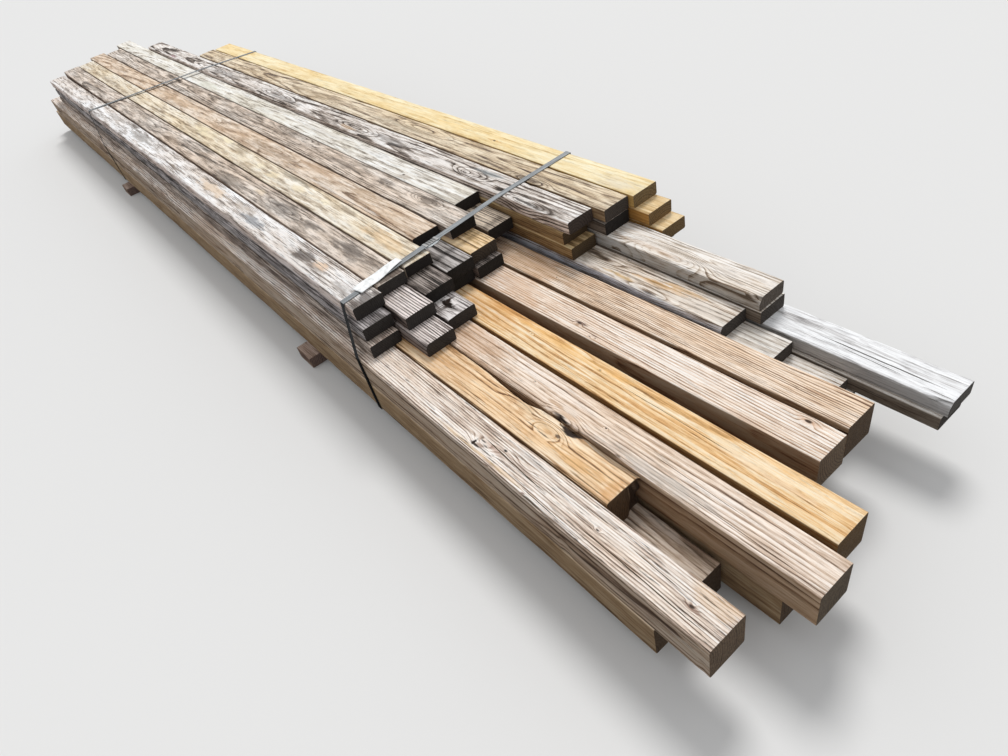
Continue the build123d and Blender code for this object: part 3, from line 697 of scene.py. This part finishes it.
# Boards with the same finish as another one; the rest lie out of the light and get the shaded finish, whose
# darker tones and near-black end are painted shade
right_finish = {
    "g3": "g2", "i3": "i2", "h4": "g5", "g6": "h3", "g7": "h5", "h6": "g5",
}
right_details = {
    "g1": {"checks": [(1570, 1440, 200, 4, 1.8, 4), (1380, 1180, 190, 3, 1.8, 4)], "step": 0.02},
    "g4": {"wanes": [(2110, 2000, 2048, -1, 6, 8, 0.2)], "step": 0.03},
    "h1": {"checks": [(1500, 1280, 300, 3, 1.4, 3)], "step": 0.03},
    "h3": {"checks": [(2080, 1960, 290, 3, 1.2, 4)],
           "wanes": [(2150, 2025, 2081, -1, 12, 16, 0.3)], "step": 0.02},
    "h5": {"checks": [(2470, 2200, 308, 4, 3.2, 9), (2384, 2243, 299, 3, 2.0, 5),
                      (2490, 2440, 290, 1, 2.0, 7)],
           "wanes": [(2560, 2430, 2493, -1, 11, 14, 0.15)], "step": 0.012},
}
for letter in "ghi":
    for row in "1234567":
        key = letter + row
        finish = right_finish.get(key, key if key in right_woods else "shaded")
        bar(f"right_board_{key}", right_woods[finish], "stud_boards", **right_details.get(key, {}))


def recoat(node, material):
    """Gives a CAD node that stays in view its one material."""
    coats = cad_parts[node].data.materials
    coats.clear()
    coats.append(material)


# The bottom boards take the same painted shade
recoat("right_bottom_boards", right_woods["shaded"])

# Bearers
# Two stud offcuts laid across under the stack so that the straps clear the ground. Dirt and
# damp have turned them pinkish brown.
bearer_wood = softwood(
    "spruce bearer, damp brown", ("#57453c", "#8c7466", "#ab9384", "#c7b2a4"), 5.5, (0, 0, -40),
    (0.0, 0.0), lines=0.4, mottle=0.5, specks=0.5, hairs=0.3, side="#cfc4bb", end="#8d766c", seed=121.0,
)
for name in ("near_bearer", "far_bearer"):
    recoat(name, bearer_wood)

# Straps and seals
# Cold-rolled steel strapping, 19 mm by 0.8 mm, waxed black and scuffed to bare grey where it
# crosses the tops. A crimped sleeve of thicker steel locks the two ends of each, and the
# near strap's cut tail curls out of its sleeve.


def strap_steel(name, dark, bare, gloss):
    """Blackened steel with long scuffs down to the metal."""
    steel = bpy.data.materials.new(name)
    steel.use_nodes = True
    tree = steel.node_tree
    place = put(tree, "TexCoord", out="Object")
    # Scuffs about 3 mm wide and 60 mm long, along the strap
    along = put(tree, "Mapping", {"Vector": place, "Scale": (300, 16, 60)})
    scuff = put(tree, "TexNoise", {"Vector": along, "Scale": 1.0, "Detail": 4.0, "Roughness": 0.6})
    up = put(tree, "SeparateXYZ", {0: put(tree, "NewGeometry", out="Normal")}, out=2)
    top = put(tree, "MapRange", {"Value": up, "From Min": 0.3, "From Max": 0.8})
    worn = put(tree, "MapRange", {"Value": scuff, "From Min": 0.40, "From Max": 0.62, "To Min": 0.55})
    share = put(tree, "Math", {0: worn, 1: top}, operation="MULTIPLY")
    colour = put(tree, "Mix", {0: share, 6: paint(dark), 7: paint(bare)}, 2, data_type="RGBA")
    bark_rot_and_painted_shade = put(tree, "Attribute", out="Fac", attribute_name="bark_rot_and_painted_shade")
    # Darkens the crimp dents that the mesh marks: painted shade
    colour = put(tree, "Mix", {0: bark_rot_and_painted_shade, 6: colour, 7: paint("#1b1a19")}, 2, data_type="RGBA")
    metallic = put(tree, "Math", {0: share, 1: 0.75}, operation="MULTIPLY")
    roughness = put(tree, "MapRange", {"Value": scuff, "From Min": 0.3, "From Max": 0.7,
                                       "To Min": gloss + 0.14, "To Max": gloss})
    specular = put(tree, "MapRange", {"Value": top, "To Min": 0.02, "To Max": 0.5})
    shader = tree.nodes["Principled BSDF"]
    tree.links.new(colour, shader.inputs["Base Color"])
    tree.links.new(metallic, shader.inputs["Metallic"])
    tree.links.new(roughness, shader.inputs["Roughness"])
    tree.links.new(specular, shader.inputs["Specular IOR Level"])
    return steel


def ends_of(node, reach):
    """Middles of a CAD node's two ends along y, from its corners within reach of each."""
    low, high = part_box(node)
    corners = [corner.co.copy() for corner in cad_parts[node].data.vertices]
    ends = []
    for limit in (low.y, high.y):
        at_end = [corner for corner in corners if abs(corner.y - limit) < reach]
        ends.append(sum(at_end, Vector()) / len(at_end))
    return ends


def laid_along(start, stop):
    """A place half-way between two points, with y towards the second one and z upwards."""
    along = (stop - start).normalized()
    across = along.cross(Vector((0, 0, 1))).normalized()
    place = Matrix((across, along, across.cross(along))).transposed().to_4x4()
    place.translation = (start + stop) / 2
    return place


band_steel = strap_steel("blackened strapping steel", "#0e0e0f", "#94989a", 0.42)
seal_steel = strap_steel("crimped seal steel", "#55575a", "#b4b4b1", 0.38)
for name in ("near_strap", "far_strap"):
    recoat(name, band_steel)
seal_length, seal_width, seal_thick = 0.044, 0.0208, 0.0028
crimps, crimp_length, crimp_depth, pinch_share = (-0.012, -0.004, 0.004, 0.012), 0.0026, 0.0016, 0.16
for name in ("near_seal", "far_seal"):
    place = laid_along(*ends_of(name, 0.008))
    sleeve = bmesh.new()
    bmesh.ops.create_cube(sleeve, size=1.0)
    bmesh.ops.scale(sleeve, vec=(seal_width, seal_length, seal_thick), verts=sleeve.verts)
    for axis, half, count in (((0, 1, 0), seal_length / 2, 24), ((1, 0, 0), seal_width / 2, 6)):
        for step in range(1, count):
            add_edge_line(sleeve, Vector(axis) * half * (2 * step / count - 1), axis)
    bark_rot_and_painted_shade = sleeve.verts.layers.float.new("bark_rot_and_painted_shade")
    for corner in sleeve.verts:
        # Two pairs of crimps pinch the sleeve's edges and dent its top, and the dents on top are painted
        # dark as painted shade
        pinch = max(math.exp(-((corner.co.y - crimp) / crimp_length) ** 2) for crimp in crimps)
        edge = (abs(corner.co.x) / (seal_width / 2)) ** 2
        corner.co.x *= 1 - pinch_share * pinch * edge
        corner.co.z -= crimp_depth * pinch * edge * (1 if corner.co.z > 0 else 0.3)
        corner[bark_rot_and_painted_shade] = pinch if corner.co.z > 0 else 0.0
    bmesh.ops.transform(sleeve, matrix=place, verts=sleeve.verts)
    piece = made(sleeve, name + "_steel", seal_steel)
    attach(piece, "root")
    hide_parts(name)
    if name == "near_seal":
        # The cut tail comes out beside the sleeve and turns down as it widens
        tail_root, tail_width, tail_length = 0.0080, 0.0085, 0.060
        tail = bmesh.new()
        bmesh.ops.create_grid(tail, x_segments=5, y_segments=16, size=0.5)
        for corner in tail.verts:
            share, over = corner.co.y + 0.5, corner.co.x + 0.5
            reach = tail_width * over * min(1.0, 0.25 + 2.2 * share, 3.0 * (1.05 - share))
            droop = 0.0006 + 0.42 * reach - 0.002 * math.sin(math.pi * share) * over
            corner.co = Vector((tail_root + reach, tail_length * (share - 0.5), -droop))
        bmesh.ops.transform(tail, matrix=place, verts=tail.verts)
        curl = made(tail, "near_strap_tail", band_steel)
        curl.data.shade_smooth()
        curl.modifiers.new("thickness", "SOLIDIFY").thickness = 0.0008
        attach(curl, "root")

# Tag
# A strip of stiff white paper slipped round the near strap, buckled a little by the rain.
tag_paper = bpy.data.materials.new("weathered white paper")
tag_paper.use_nodes = True
tag_tree = tag_paper.node_tree
tag_place = put(tag_tree, "TexCoord", out="Object")
# Grey water marks about 15 mm across take the paper off pure white
tag_dirt = put(tag_tree, "TexNoise", {"Vector": tag_place, "Scale": 65.0, "Detail": 5.0})
tag_share = put(tag_tree, "MapRange", {"Value": tag_dirt, "From Min": 0.45, "From Max": 0.75})
tag_colour = put(tag_tree, "Mix", {0: tag_share, 6: paint("#f7f8f8"), 7: paint("#cfcfcb")}, 2,
                 data_type="RGBA")
tag_shader = tag_tree.nodes["Principled BSDF"]
tag_tree.links.new(tag_colour, tag_shader.inputs["Base Color"])
tag_shader.inputs["Roughness"].default_value = 0.65
tag_length, tag_width, tag_shift, tag_skew = 0.147, 0.040, -0.0035, -0.008
taper, taper_start = 0.40, 0.35
slip = bmesh.new()
bmesh.ops.create_grid(slip, x_segments=8, y_segments=28, size=0.5)
for corner in slip.verts:
    share, over = corner.co.y + 0.5, corner.co.x
    narrow = 1 - taper * max(0.0, share - taper_start) / (1 - taper_start)
    buckle = 0.0012 * math.sin(2 * math.pi * (1.4 * share + 0.1)) + 0.0010
    droop = 0.0016 * max(0.0, over) * math.sin(math.pi * share)
    aside = over * tag_width * narrow + tag_shift + tag_skew * (1 - share)
    corner.co = Vector((aside, (share - 0.5) * tag_length, 0.0006 + buckle - droop))
bmesh.ops.transform(slip, matrix=laid_along(*ends_of("tag", 0.02)), verts=slip.verts)
tag = made(slip, "tag_paper", tag_paper)
tag.data.shade_smooth()
tag.modifiers.new("thickness", "SOLIDIFY").thickness = 0.0004
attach(tag, "root")
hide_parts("tag")

# Studio
# A pale floor, a soft sun from behind the board side and an even sky, so that the tops are
# as bright as their paint says and the ends fall into shade.
floor_paint = bpy.data.materials.new("pale floor")
floor_paint.use_nodes = True
floor_tree = floor_paint.node_tree
# The floor looks pale but throws back little light
seen = put(floor_tree, "LightPath", out="Is Camera Ray")
floor_colour = put(floor_tree, "Mix", {0: seen, 6: paint("#8c8a88"), 7: paint("#dddcda")}, 2,
                   data_type="RGBA")
floor_tree.links.new(floor_colour, floor_tree.nodes["Principled BSDF"].inputs["Base Color"])
floor_tree.nodes["Principled BSDF"].inputs["Roughness"].default_value = 0.9
ground = bmesh.new()
bmesh.ops.create_grid(ground, x_segments=1, y_segments=1, size=30)
floor = made(ground, "floor", floor_paint)
sun = bpy.data.objects.new("sun", bpy.data.lights.new("sun", "SUN"))
sun.data.energy = 1.75
sun.data.angle = math.radians(20)
sun.rotation_euler = Vector((-0.35, 0.40, 0.85)).to_track_quat("Z", "Y").to_euler()
bpy.context.scene.collection.objects.link(sun)
sky = bpy.data.worlds.new("sky")
sky.use_nodes = True
sky.node_tree.nodes["Background"].inputs["Color"].default_value = paint("#f6f8fb")
sky.node_tree.nodes["Background"].inputs["Strength"].default_value = 0.70
bpy.context.scene.world = sky
